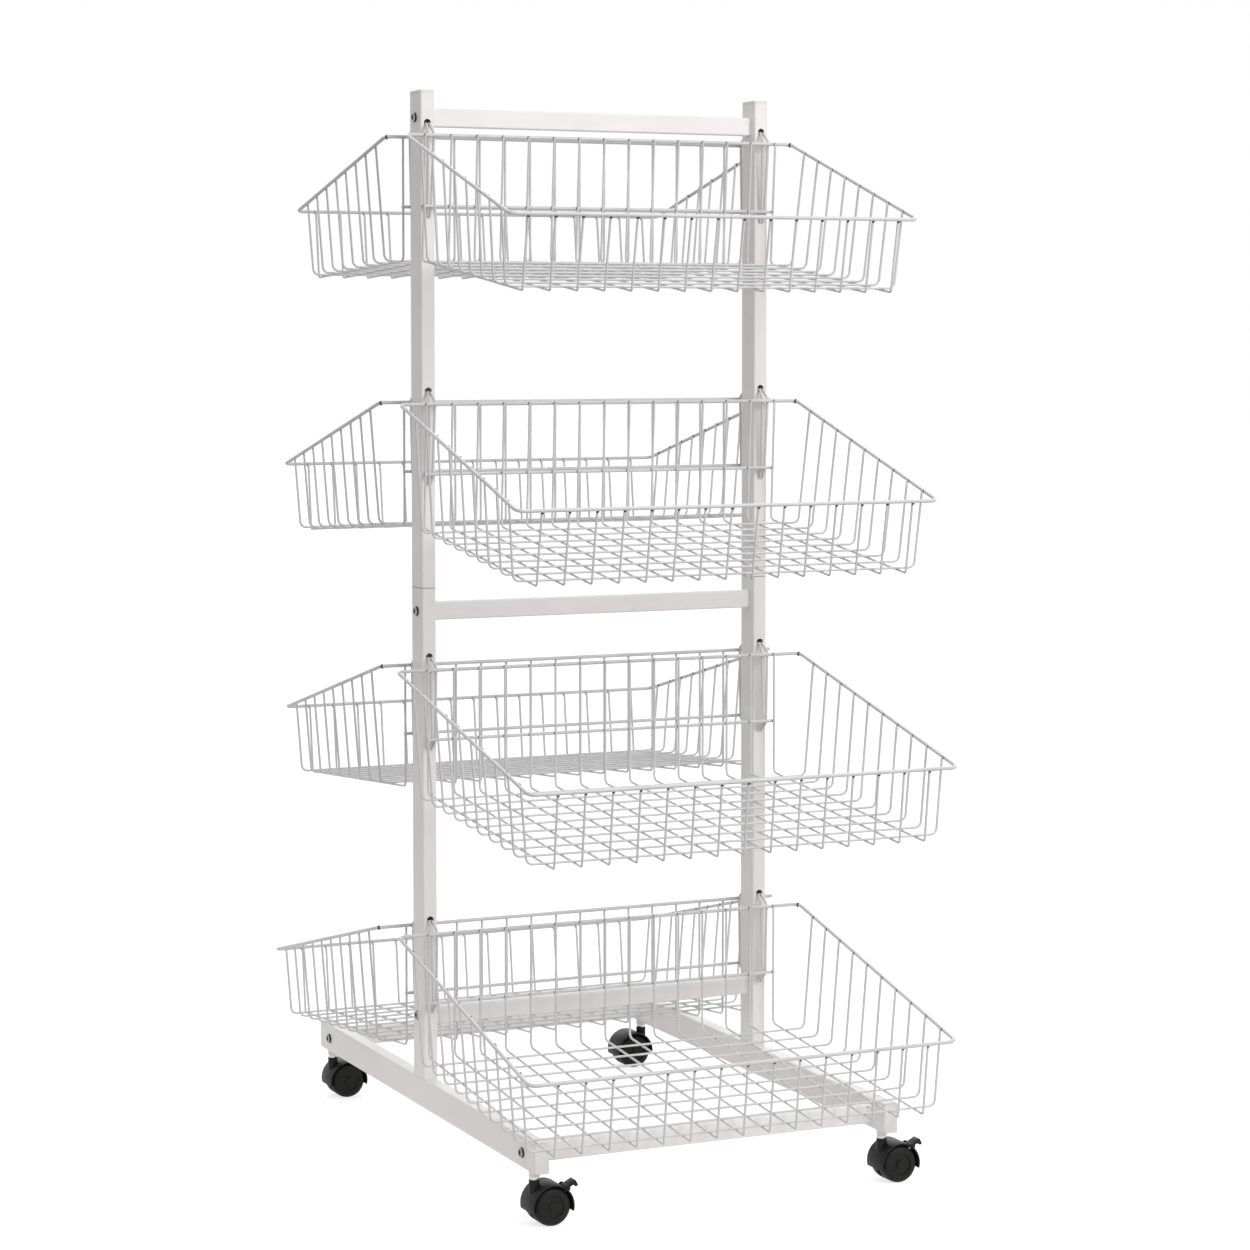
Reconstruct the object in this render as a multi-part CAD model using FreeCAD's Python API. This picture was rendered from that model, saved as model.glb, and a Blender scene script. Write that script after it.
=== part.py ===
import FreeCAD, Part
import math
import os
from FreeCAD import Vector

# A double-sided wire basket display stand on casters.
# Millimetres. X runs along the width, Y from the front baskets to the rear ones, Z up from the floor.
# The origin is on the floor, below the middle of the stand.

# Posts, feet and rails
post_spacing = 500.0        # between the middles of the two posts
tube_wide = 20.0            # posts and feet, along X
tube_deep = 40.0            # posts along Y, feet along Z
tube_wall = 1.5
tube_corner = 2.5
least_corner = 0.3          # inner corner of a tube whose outer corner is no larger than its wall
lower_post_length = 669.0
upper_post_length = 662.0
rail_high = 25.0
rail_deep = 15.0
rail_corner = 2.0
top_rail_down = 36.0        # middle of the top rail below the top of the stand
middle_rail_down = 32.0     # middle of the middle rail below the split in the posts
bottom_rail_up = 85.0       # middle of the bottom rail above the feet
foot_length = 800.0         # without the end plugs
base_rail_in = 38.0         # middle of a base rail from the end of the foot
joiner_length = 120.0
joiner_play = 0.2
vent_diameter = 3.0         # drain hole near each end of a base rail
vent_from_end = 7.0
vent_from_top = 3.5

# Plastic plugs in the open ends of the tubes
post_plug_head = 5.0
foot_plug_head = 2.0
plug_depth = 11.0
plug_play = 0.2

# Bolts through the posts and feet into threaded blocks in the rail ends
bolt_diameter = 6.0
bolt_clearance = 0.4
bolt_head_diameter = 13.0
bolt_head_high = 4.0
bolt_head_round = 2.8
bolt_key_wide = 4.0
bolt_key_deep = 2.0
key_sides = 6
bolt_reach = 16.0
insert_length = 18.0
thread_play = 0.05

# Casters, with the stem at the origin and the wheels trailing along +X
wheel_radius = 25.0
wheel_wide = 17.0
wheel_round = 8.0
wheel_dish_radius = 14.0
wheel_dish_deep = 1.6
wheel_hub_radius = 6.0
wheel_gap = 1.5             # between tread and hood
web_thick = 7.0             # wall of the hood between the wheels
web_gap = 0.6
hood_wall = 2.0
hood_skirt_up = 18.0        # lower edge of the hood above the floor
caster_trail = 18.0         # axle behind the stem
caster_in = 23.0            # stem from the end of the foot
axle_diameter = 6.0
running_clearance = 0.05
neck_radius = 7.0
neck_rise = 4.5             # above the top of the hood
pin_diameter = 8.0
pin_floor = 0.5
swivel_gap = 0.3
collar_diameter = 13.0
collar_thick = 4.7
stem_diameter = 10.0
stem_rise = 34.0
socket_wall = 2.0
socket_drop = 7.0           # socket below the foot

# Brake lever on the hood
brake_place = 40.0          # degrees up from the trailing side, seen from the axle
brake_slope = 28.0          # degrees up, with the brake off
brake_travel = 20.0         # degrees down to the locked position
brake_pin_diameter = 3.0
brake_pin_out = 2.0         # middle of the pin outside the hood
brake_boss_radius = 3.0
brake_shoe_radius = 1.2
brake_shoe_gap = 0.3        # between shoe and treads in the locked position
brake_tab_length = 15.0
brake_tab_thick = 4.0
brake_lip_drop = 4.0        # lip under the end of the tab
brake_wide = 16.0
brake_side_gap = 0.4
brake_slot_gap = 0.4
brake_ear_thick = 2.5
brake_ear_radius = 4.0

# Hook holes in the posts and hooks on the baskets
level_count = 4
top_hole_down = 44.0        # top hook hole below the top of the stand
floor_over_foot = 2.6       # lowest basket's floor above the end of the foot
hole_diameter = 10.0
hook_wire = 3.5
hook_half_gap = 2.2         # half the width of the loop, between wire middles
hook_half_spread = 4.0      # half the width at the top wire
hook_half_tip = 1.9         # half the width at the lower tip
hook_seat_gap = 0.5         # between the loop and the edge of its hole
hook_tip_below = 15.0       # lower tip below the middle wire
hook_rest_gap = 0.3         # between the lower tip and the post
hook_shoulder = 2.6         # outer bend of the loop from the face of the post
hook_shoulder_up = 3.0      # start of the straight legs above the top wire
hook_knee_below = 2.0       # bend to the lower tip below the middle wire
hook_past_wall = 2.5        # straight part of the loop behind the wall
hook_dip = 40.0             # slope of the end of the loop, in degrees
hook_tail = 6.0
hook_bend = 4.0
hook_leg_bend = 5.0
hook_end_bend = 2.1

# Baskets
rim_wire = 5.0
mid_wire = 4.5
mesh_wire = 3.0
weld_bite = 0.2             # depth to which crossing wires are melted together
back_stand_off = 19.0       # middle of the top wire from the face of the post
top_wire_down = 16.0        # below the hook holes
mid_wire_down = 110.0
back_floor_down = 182.5
rim_fall = 0.244            # drop of the rim for each millimetre outwards
front_wall = 95.5
front_lean = 15.3
run_wire_count = 15
run_wire_outset = 11.0      # outermost run wire outside the hooks
cross_first = 48.0          # first cross wire from the top wire
cross_pitch = 40.0
cross_last = 35.0           # front of the rim from the last cross wire
side_slope = 0.08           # lean of the side walls for each millimetre of height
rim_bend = 10.0
cross_bend = 9.0
run_bend_back = 8.0
run_bend_front = 4.0
wire_stub = 1.2             # end of a mesh wire past the middle of the rim
mid_wire_stub = 1.5

# For each size: the number of cross wires
cross_wire_counts = {
    "small": 8,
    "medium": 9,
    "large": 10,
}
# For each size: overhang of the rim outside the run wires at the back and at the front
basket_sizes = {
    "small": (26.5, 27.0),
    "medium": (36.5, 35.0),
    "large": (42.5, 40.0),
}
# Side, level from the top, size, slope of the hung basket below its drawn shape in degrees
baskets = [
    ("front", 1, "small", 4.3),
    ("front", 2, "medium", 3.4),
    ("front", 3, "large", 0.0),
    ("front", 4, "large", 0.0),
    ("rear", 1, "small", 0.0),
    ("rear", 2, "medium", 0.0),
    ("rear", 3, "medium", 0.0),
    ("rear", 4, "large", 0.0),
]
# Name, side along X, side along Y, direction of the trailing wheels in degrees from +X, brake
casters = [
    ("front_left", -1, -1, 0.0, True),
    ("front_right", 1, -1, 0.0, True),
    ("rear_left", -1, 1, 0.0, False),
    ("rear_right", 1, 1, 180.0, False),
]

# Heights and places that follow from the sizes
hood_radius = wheel_radius + wheel_gap + hood_wall
neck_top = wheel_radius + hood_radius + neck_rise
collar_bottom = neck_top + swivel_gap
socket_bottom = collar_bottom + collar_thick
socket_radius = stem_diameter / 2 + socket_wall
foot_bottom = socket_bottom + socket_drop
foot_top = foot_bottom + tube_deep
foot_middle = foot_bottom + tube_deep / 2
foot_end = foot_length / 2 + foot_plug_head
split_height = foot_top + lower_post_length
post_top = split_height + upper_post_length
stand_top = post_top + post_plug_head
post_side = post_spacing / 2
post_face = tube_deep / 2
inner_wide = tube_wide - 2 * tube_wall
inner_deep = tube_deep - 2 * tube_wall
inner_corner = tube_corner - tube_wall
rail_length = post_spacing - tube_wide
base_rail_out = foot_length / 2 - base_rail_in
caster_out = foot_length / 2 - caster_in
top_rail_height = stand_top - top_rail_down
middle_rail_height = split_height - middle_rail_down
bottom_rail_height = foot_top + bottom_rail_up
rail_places = {
    "rail_top": (0, top_rail_height),
    "rail_middle": (0, middle_rail_height),
    "rail_bottom": (0, bottom_rail_height),
    "base_rail_front": (-base_rail_out, foot_middle),
    "base_rail_rear": (base_rail_out, foot_middle),
}

# Distances of the basket wires from the middle plane of the stand
top_wire_out = post_face + back_stand_off
rim_to_mesh = (rim_wire + mesh_wire) / 2 - weld_bite
run_back_out = top_wire_out + rim_to_mesh
mid_wire_out = run_back_out - (mid_wire + mesh_wire) / 2 + weld_bite
run_half_span = post_side + run_wire_outset
hook_low = math.sqrt((hole_diameter / 2 - hook_wire / 2 - hook_seat_gap) ** 2 - hook_half_gap ** 2)
hook_pivot = Vector(0, post_face - tube_wall / 2, -hook_low)

along_x = Vector(1, 0, 0)
along_y = Vector(0, 1, 0)
along_z = Vector(0, 0, 1)
origin = Vector(0, 0, 0)

os.makedirs("parts", exist_ok=True)


def save(name, solids):
    """Write one node, as one solid or as a group of separate solids."""
    shape = solids[0] if len(solids) == 1 else Part.makeCompound(solids)
    shape.exportStep("parts/" + name + ".step")


def moved(shape, offset):
    copy = shape.copy()
    copy.translate(offset)
    return copy


def turned(shape, axis, degrees, centre=origin):
    copy = shape.copy()
    copy.rotate(centre, axis, degrees)
    return copy


def cylinder(radius, start, end):
    return Part.makeCylinder(radius, (end - start).Length, start, end - start)


def rounded_bar(wide, deep, length, corner):
    """A bar up from the origin, wide along X and deep along Y, with round long edges."""
    bar = Part.makeBox(wide, deep, length, Vector(-wide / 2, -deep / 2, 0))
    upright = [edge for edge in bar.Edges if edge.BoundBox.ZLength > length / 2]
    return bar.makeFillet(corner, upright)


def tube(wide, deep, length, corner):
    """A rectangular tube up from the origin, open at both ends."""
    outside = rounded_bar(wide, deep, length, corner)
    inside_corner = max(corner - tube_wall, least_corner)
    inside = rounded_bar(wide - 2 * tube_wall, deep - 2 * tube_wall, length, inside_corner)
    return outside.cut(inside)


def tube_plug(head):
    """A plug whose head lies on the end of a post or foot, with its spigot below the origin."""
    spigot = rounded_bar(inner_wide, inner_deep - plug_play, plug_depth, inner_corner)
    cap = rounded_bar(tube_wide, tube_deep, head, tube_corner)
    return cap.fuse(moved(spigot, along_z * -plug_depth)).removeSplitter()


def wire_path(points, bends, closed):
    """Straight runs through the points, with a tangent arc of the given radius at each bend."""
    count = len(points)
    run_starts = list(points)
    run_ends = list(points)
    arcs = {}
    for index in range(count):
        if not closed and index in (0, count - 1):
            continue
        corner = points[index]
        back = (points[index - 1] - corner).normalize()
        ahead = (points[(index + 1) % count] - corner).normalize()
        half_angle = back.getAngle(ahead) / 2
        reach = bends[index] / math.tan(half_angle)
        depth = bends[index] / math.sin(half_angle) - bends[index]
        run_ends[index] = corner + back * reach
        run_starts[index] = corner + ahead * reach
        crest = corner + (back + ahead).normalize() * depth
        arcs[index] = Part.Arc(run_ends[index], crest, run_starts[index]).toShape()
    edges = []
    for index in range(count if closed else count - 1):
        following = (index + 1) % count
        edges.append(Part.makeLine(run_starts[index], run_ends[following]))
        if following in arcs:
            edges.append(arcs[following])
    return edges


def bent_wire(points, bends, diameter, closed=False):
    """One round wire along the points, with a bend radius for each of them."""
    edges = wire_path(points, bends, closed)
    start = edges[0].valueAt(edges[0].FirstParameter)
    heading = edges[0].tangentAt(edges[0].FirstParameter)
    section = Part.Face(Part.Wire(Part.makeCircle(diameter / 2, start, heading)))
    return Part.Wire(edges).makePipe(section)


def basket_shape(size):
    """Distance outwards and height of the front of the rim, and of the front end of the floor."""
    rim_out = top_wire_out + cross_first + cross_pitch * (cross_wire_counts[size] - 1) + cross_last
    rim_height = -top_wire_down - rim_fall * (rim_out - top_wire_out)
    return rim_out, rim_height, rim_out - front_lean, rim_height - front_wall


def floor_slope(size):
    floor_out, floor_height = basket_shape(size)[2:]
    return (floor_height + back_floor_down) / (floor_out - run_back_out)


def floor_height(size, out):
    """Height of the run wires along the floor."""
    return -back_floor_down + floor_slope(size) * (out - run_back_out)


def hole_heights():
    """From the top down, evenly spread. The lowest basket just clears the feet."""
    lowest_wire = floor_height("large", foot_end) - mesh_wire / 2
    bottom_hole = foot_top + floor_over_foot - lowest_wire
    top_hole = stand_top - top_hole_down
    pitch = (top_hole - bottom_hole) / (level_count - 1)
    return [top_hole - pitch * level for level in range(level_count)]


def bolt_drill(across, height):
    """Clearance hole along X through a tube on the middle line."""
    centre = Vector(0, across, height)
    radius = (bolt_diameter + bolt_clearance) / 2
    return cylinder(radius, centre - along_x * tube_wide, centre + along_x * tube_wide)


def post_tube(bottom, length, rail_heights):
    """One tube of a post on the middle line, with the hook holes and bolt holes that fall on it."""
    shape = moved(tube(tube_wide, tube_deep, length, tube_corner), along_z * bottom)
    for height in hole_heights():
        if bottom < height < bottom + length:
            start = Vector(0, -tube_deep, height)
            shape = shape.cut(cylinder(hole_diameter / 2, start, start + along_y * (2 * tube_deep)))
    for height in rail_heights:
        shape = shape.cut(bolt_drill(0, height))
    return shape


def build_posts():
    lower = post_tube(foot_top, lower_post_length, [middle_rail_height, bottom_rail_height])
    upper = post_tube(split_height, upper_post_length, [top_rail_height])
    joiner = tube(inner_wide, inner_deep - joiner_play, joiner_length, inner_corner)
    joiner = moved(joiner, along_z * (split_height - joiner_length / 2))
    joiner = joiner.cut(bolt_drill(0, middle_rail_height))
    plug = moved(tube_plug(post_plug_head), along_z * post_top)
    plugs = []
    for name, side in (("left", -1), ("right", 1)):
        offset = along_x * (side * post_side)
        save("post_lower_" + name, [moved(lower, offset)])
        save("post_upper_" + name, [moved(upper, offset)])
        save("post_joiner_" + name, [moved(joiner, offset)])
        plugs.append(moved(plug, offset))
    save("post_plugs", plugs)


def rail_bolt():
    """A round-headed bolt at the +X end of a rail, with a hexagon key hole in its head."""
    head_start = rail_length / 2 + tube_wide
    head_end = head_start + bolt_head_high
    shank = cylinder(bolt_diameter / 2, along_x * (rail_length / 2 - bolt_reach), along_x * head_start)
    head = cylinder(bolt_head_diameter / 2, along_x * head_start, along_x * head_end)
    rounded = [edge for edge in head.Edges if edge.BoundBox.XMin > head_end - bolt_head_high / 2]
    head = head.makeFillet(bolt_head_round, rounded)
    key_corner = bolt_key_wide / 2 / math.cos(math.pi / key_sides)
    corner_point = Vector(head_end, key_corner, 0)
    turns = [FreeCAD.Rotation(along_x, 360 * side / key_sides) for side in range(key_sides + 1)]
    key = Part.makePolygon([turn.multVec(corner_point) for turn in turns])
    key_hole = Part.Face(key).extrude(along_x * -bolt_key_deep)
    return head.cut(key_hole).fuse(shank).removeSplitter()


def rail_insert():
    """A threaded block that fills the +X end of a rail."""
    block = rounded_bar(rail_high - 2 * tube_wall, rail_deep - 2 * tube_wall, insert_length,
                        max(rail_corner - tube_wall, least_corner))
    block = moved(turned(block, along_y, -90), along_x * (rail_length / 2))
    thread = cylinder((bolt_diameter + thread_play) / 2, origin, along_x * rail_length)
    return block.cut(thread)


def build_rails():
    """Five rails of one length, each with a bolt and a threaded block at both ends."""
    rail = moved(tube(rail_high, rail_deep, rail_length, rail_corner), along_z * (-rail_length / 2))
    rail = turned(rail, along_y, 90)
    inserts = []
    bolts = []
    for name, (across, height) in rail_places.items():
        place = Vector(0, across, height)
        shape = moved(rail, place)
        if across:
            outwards = along_y * math.copysign(rail_deep, across)
            for side in (-1, 1):
                from_middle = side * (rail_length / 2 - vent_from_end)
                vent = place + Vector(from_middle, 0, rail_high / 2 - vent_from_top)
                shape = shape.cut(cylinder(vent_diameter / 2, vent, vent + outwards))
        save(name, [shape])
        for degrees in (0, 180):
            inserts.append(moved(turned(rail_insert(), along_z, degrees), place))
            bolts.append(moved(turned(rail_bolt(), along_z, degrees), place))
    save("rail_inserts", inserts)
    save("rail_bolts", bolts)


def foot_tube():
    shape = moved(tube(tube_wide, tube_deep, foot_length, tube_corner), along_z * (-foot_length / 2))
    shape = moved(turned(shape, along_x, 90), along_z * foot_middle)
    for side in (-1, 1):
        shape = shape.cut(bolt_drill(side * base_rail_out, foot_middle))
        hole_start = Vector(0, side * caster_out, foot_bottom)
        shape = shape.cut(cylinder(socket_radius, hole_start, hole_start + along_z * tube_wall))
    return shape


def caster_socket():
    """The sleeve that holds a caster's stem, from below the foot to the top wall inside it."""
    bottom = along_z * socket_bottom
    top = along_z * (foot_top - tube_wall)
    bore = cylinder((stem_diameter + thread_play) / 2, bottom, top)
    return cylinder(socket_radius, bottom, top).cut(bore)


def build_feet():
    plug = turned(tube_plug(foot_plug_head), along_x, -90)
    plug = moved(plug, Vector(0, foot_length / 2, foot_middle))
    plugs = []
    sockets = []
    for name, side in (("left", -1), ("right", 1)):
        offset = along_x * (side * post_side)
        save("foot_" + name, [moved(foot_tube(), offset)])
        for degrees, end in ((180, -1), (0, 1)):
            plugs.append(moved(turned(plug, along_z, degrees), offset))
            sockets.append(moved(caster_socket(), offset + along_y * (end * caster_out)))
    save("foot_plugs", plugs)
    save("caster_sockets", sockets)


axle_centre = Vector(caster_trail, 0, wheel_radius)
wheel_inner = web_thick / 2 + web_gap
wheel_outer = wheel_inner + wheel_wide
brake_pin_radius = hood_radius + brake_pin_out
brake_direction = Vector(math.cos(math.radians(brake_place)), 0, math.sin(math.radians(brake_place)))
brake_centre = axle_centre + brake_direction * brake_pin_radius
brake_shoe_reach = brake_pin_radius - wheel_radius - brake_shoe_gap
pin_reach = caster_trail - pin_diameter / 2
pin_bottom = wheel_radius + math.sqrt((wheel_radius + wheel_gap) ** 2 - pin_reach ** 2) + pin_floor


def across_caster(radius, centre, half_length):
    """A cylinder along the axle's direction, evenly on both sides of the middle."""
    return cylinder(radius, centre - along_y * half_length, centre + along_y * half_length)


def caster_stem():
    """Stem, collar and the pin on which the hood turns."""
    stem = cylinder(stem_diameter / 2, along_z * socket_bottom, along_z * (socket_bottom + stem_rise))
    collar = cylinder(collar_diameter / 2, along_z * collar_bottom, along_z * socket_bottom)
    pin = cylinder(pin_diameter / 2, along_z * (pin_bottom + swivel_gap), along_z * collar_bottom)
    return stem.fuse([collar, pin]).removeSplitter()


def caster_hood(braked):
    """A half drum over both wheels, a web between them and a neck round the pin."""
    drum = across_caster(hood_radius, axle_centre, wheel_outer)
    neck = cylinder(neck_radius, along_z * wheel_radius, along_z * neck_top)
    hood = drum.fuse(neck).removeSplitter()
    reach = 2 * (hood_radius + caster_trail)
    below_skirt = Vector(-reach, -reach, hood_skirt_up - reach)
    hood = hood.cut(Part.makeBox(2 * reach, 2 * reach, reach, below_skirt))
    for side in (-1, 1):
        start = axle_centre + along_y * (side * web_thick / 2)
        end = start + along_y * (side * wheel_outer)
        hood = hood.cut(cylinder(wheel_radius + wheel_gap, start, end))
    hood = hood.cut(across_caster(axle_diameter / 2 + running_clearance, axle_centre, wheel_outer))
    pin_bore = pin_diameter / 2 + running_clearance
    hood = hood.cut(cylinder(pin_bore, along_z * pin_bottom, along_z * neck_top))
    if braked:
        slot_half = brake_wide / 2 + brake_side_gap
        slot = across_caster(brake_shoe_reach + brake_slot_gap, brake_centre, slot_half)
        ears = across_caster(brake_ear_radius, brake_centre, slot_half + brake_ear_thick)
        pin = across_caster(brake_pin_diameter / 2, brake_centre, slot_half + brake_ear_thick)
        hood = hood.fuse(ears).cut(slot).fuse(pin).removeSplitter()
    return hood


def brake_lever():
    """A foot tab on a boss round the hood's pin, with a shoe that presses on the treads."""
    half = brake_wide / 2
    boss = across_caster(brake_boss_radius, brake_centre, half)
    tab_start = Vector(0, -half, -brake_tab_thick / 2)
    tab = Part.makeBox(brake_tab_length, brake_wide, brake_tab_thick, tab_start)
    lip_high = brake_tab_thick / 2 + brake_lip_drop
    lip_start = Vector(brake_tab_length - brake_tab_thick, -half, -lip_high)
    lip = Part.makeBox(brake_tab_thick, brake_wide, lip_high, lip_start)
    tab = moved(turned(tab.fuse(lip), along_y, -brake_slope), brake_centre)
    shoe_angle = math.radians(brake_place + 180 + brake_travel)
    shoe_out = brake_shoe_reach - brake_shoe_radius
    shoe_centre = brake_centre + Vector(math.cos(shoe_angle), 0, math.sin(shoe_angle)) * shoe_out
    shoe = across_caster(brake_shoe_radius, shoe_centre, half)
    lever = boss.fuse([tab, shoe]).removeSplitter()
    return lever.cut(across_caster(brake_pin_diameter / 2 + running_clearance, brake_centre, half))


def caster_wheel():
    """One wheel on the +Y side, with a round tread edge and a dished outer face."""
    wheel = cylinder(wheel_radius, along_y * wheel_inner, along_y * wheel_outer)
    outer_edge = [edge for edge in wheel.Edges if edge.BoundBox.YMin > wheel_inner + wheel_wide / 2]
    wheel = wheel.makeFillet(wheel_round, outer_edge)
    dish_start = along_y * (wheel_outer - wheel_dish_deep)
    dish_end = along_y * wheel_outer
    dish = cylinder(wheel_dish_radius, dish_start, dish_end)
    dish = dish.cut(cylinder(wheel_hub_radius, dish_start, dish_end))
    return wheel.cut(dish).cut(cylinder(axle_diameter / 2, along_y * wheel_inner, dish_start))


def build_casters():
    wheel = moved(caster_wheel(), axle_centre)
    wheels = [wheel, turned(wheel, along_z, 180, axle_centre)]
    axle = across_caster(axle_diameter / 2, axle_centre, wheel_outer - wheel_dish_deep)
    stems = []
    for name, side_x, side_y, heading, braked in casters:
        place = Vector(side_x * post_side, side_y * caster_out, 0)

        def set_in_place(shape):
            return moved(turned(shape, along_z, heading), place)

        stems.append(set_in_place(caster_stem()))
        save("caster_hood_" + name, [set_in_place(caster_hood(braked))])
        save("caster_wheels_" + name, [set_in_place(shape) for shape in wheels])
        save("caster_axle_" + name, [set_in_place(axle)])
        if braked:
            save("brake_lever_" + name, [set_in_place(brake_lever())])
    save("caster_stems", stems)


def basket_rim(size):
    """The closed loop round the top of a basket, from hook height down to the front."""
    back_over, front_over = basket_sizes[size]
    back_half = run_half_span + back_over
    front_half = run_half_span + front_over
    rim_out, rim_height = basket_shape(size)[:2]
    points = [Vector(-back_half, top_wire_out, -top_wire_down),
              Vector(back_half, top_wire_out, -top_wire_down),
              Vector(front_half, rim_out, rim_height),
              Vector(-front_half, rim_out, rim_height)]
    return bent_wire(points, [rim_bend] * len(points), rim_wire, closed=True)


def basket_mid_wire():
    half = run_half_span + mesh_wire / 2 + mid_wire_stub
    middle = Vector(0, mid_wire_out, -mid_wire_down)
    return cylinder(mid_wire / 2, middle - along_x * half, middle + along_x * half)


def basket_hook(hang):
    """One wire bent to a loop for the hole and two legs that end in a tip against the post."""
    leg_top = top_wire_out - (rim_wire + hook_wire) / 2 + weld_bite
    leg_bottom = mid_wire_out - (mid_wire + hook_wire) / 2 + weld_bite
    tip_drop = mid_wire_down + hook_tip_below
    swing = math.radians(hang)
    tip_clear = hook_wire / 2 + hook_rest_gap + tube_wall / 2
    tip_out = hook_pivot.y + (tip_clear + (tip_drop - hook_low) * math.sin(swing)) / math.cos(swing)
    dip = math.radians(hook_dip)
    inside = post_face - tube_wall - hook_past_wall
    tail_end = inside - hook_tail * math.cos(dip)
    tail_height = -hook_low - hook_tail * math.sin(dip)
    half = [
        (hook_half_tip, tip_out, -tip_drop, 0),
        (hook_half_gap, leg_bottom, -mid_wire_down - hook_knee_below, hook_leg_bend),
        (hook_half_spread, leg_top, -top_wire_down + hook_shoulder_up, hook_leg_bend),
        (hook_half_gap, post_face + hook_shoulder, -hook_low, hook_bend),
        (hook_half_gap, inside, -hook_low, hook_bend),
        (hook_half_gap, tail_end, tail_height, hook_end_bend),
    ]
    points = [Vector(-x, out, height) for x, out, height, bend in half]
    points += [Vector(x, out, height) for x, out, height, bend in reversed(half)]
    bends = [corner[3] for corner in half]
    return bent_wire(points, bends + bends[::-1], hook_wire)


def run_wires(size):
    """Wires from the top of the back wall down, along the floor and up the front wall."""
    rim_out, rim_height, floor_out, front_floor = basket_shape(size)
    to_rim = Vector(0, rim_out - floor_out, rim_height - front_floor)
    inwards = math.asin(rim_to_mesh / to_rim.Length)
    lean = math.atan2(to_rim.z, to_rim.y) + inwards
    rise = to_rim.Length * math.cos(inwards) + wire_stub
    points = [Vector(0, run_back_out, -top_wire_down + wire_stub),
              Vector(0, run_back_out, -back_floor_down),
              Vector(0, floor_out, front_floor),
              Vector(0, floor_out + rise * math.cos(lean), front_floor + rise * math.sin(lean))]
    wire = bent_wire(points, [0, run_bend_back, run_bend_front, 0], mesh_wire)
    pitch = 2 * run_half_span / (run_wire_count - 1)
    return [moved(wire, along_x * (pitch * place - run_half_span)) for place in range(run_wire_count)]


def cross_wires(size):
    """Wires down one side wall, across the floor on top of the run wires and up the other side."""
    back_over, front_over = basket_sizes[size]
    rim_out = basket_shape(size)[0]
    lift = (mesh_wire - weld_bite) / math.cos(math.atan(floor_slope(size)))
    wires = []
    for place in range(cross_wire_counts[size]):
        out = top_wire_out + cross_first + cross_pitch * place
        share = (out - top_wire_out) / (rim_out - top_wire_out)
        rim_half = run_half_span + back_over + (front_over - back_over) * share
        rim_height = -top_wire_down - rim_fall * (out - top_wire_out)
        side_high = rim_height - floor_height(size, out) - lift
        floor = Vector(rim_half - rim_to_mesh - side_slope * side_high, out, rim_height - side_high)
        side = Vector(rim_half - rim_to_mesh, out, rim_height) - floor
        top = floor + side * (1 + wire_stub / side.Length)
        points = [Vector(-top.x, top.y, top.z), Vector(-floor.x, floor.y, floor.z), floor, top]
        wires.append(bent_wire(points, [0, cross_bend, cross_bend, 0], mesh_wire))
    return wires


def build_baskets():
    """Each basket is drawn behind the stand with its holes at height 0, then hung in its place."""
    heights = hole_heights()
    for side, level, size, hang in baskets:
        hooks = [moved(basket_hook(hang), along_x * place) for place in (-post_side, post_side)]
        pieces = {
            "frame": [basket_rim(size), basket_mid_wire()] + hooks,
            "run_wires": run_wires(size),
            "cross_wires": cross_wires(size),
        }
        facing = 180 if side == "front" else 0
        for piece, solids in pieces.items():
            hung = [turned(solid, along_x, -hang, hook_pivot) for solid in solids]
            raised = [moved(solid, along_z * heights[level - 1]) for solid in hung]
            placed = [turned(solid, along_z, facing) for solid in raised]
            save("basket_" + side + "_" + str(level) + "_" + piece, placed)


build_posts()
build_rails()
build_feet()
build_casters()
build_baskets()
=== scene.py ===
# %% [markdown]
# # A wire basket display stand
# This lesson dresses a shop stand: two painted posts on casters, and wire baskets that hang from them
# back to back. The tubes, rails and hidden pieces come from the CAD frame. The wires, bolts, plugs and
# casters are modelled again here, because they need rounder shapes than a CAD mesh has.
#
# First the frame is loaded.

# %% Load the frame
import math

import bpy
from mathutils import Matrix, Vector


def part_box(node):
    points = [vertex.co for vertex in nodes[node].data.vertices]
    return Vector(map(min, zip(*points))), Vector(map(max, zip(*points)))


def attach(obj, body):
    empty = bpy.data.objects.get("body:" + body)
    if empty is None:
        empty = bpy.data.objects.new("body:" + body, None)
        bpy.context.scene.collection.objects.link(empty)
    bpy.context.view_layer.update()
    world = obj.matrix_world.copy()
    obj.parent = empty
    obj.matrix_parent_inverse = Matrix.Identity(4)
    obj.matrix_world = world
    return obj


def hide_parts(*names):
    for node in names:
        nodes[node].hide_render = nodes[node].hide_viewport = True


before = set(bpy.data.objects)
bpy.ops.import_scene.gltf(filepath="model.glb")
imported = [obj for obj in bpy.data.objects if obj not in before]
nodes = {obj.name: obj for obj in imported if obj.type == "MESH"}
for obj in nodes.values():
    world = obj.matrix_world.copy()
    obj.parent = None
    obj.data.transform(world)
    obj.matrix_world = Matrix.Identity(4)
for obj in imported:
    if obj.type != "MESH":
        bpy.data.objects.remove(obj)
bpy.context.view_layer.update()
scene = bpy.context.scene
MM = 0.001

# %% [markdown]
# ## Camera
# The photo was taken from about four and a half metres away, a little to the left of the stand and at
# the height of its upper half. A long lens keeps the uprights nearly parallel. The camera looks
# slightly down, and a small vertical shift frames the stand as in the photo.

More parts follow.
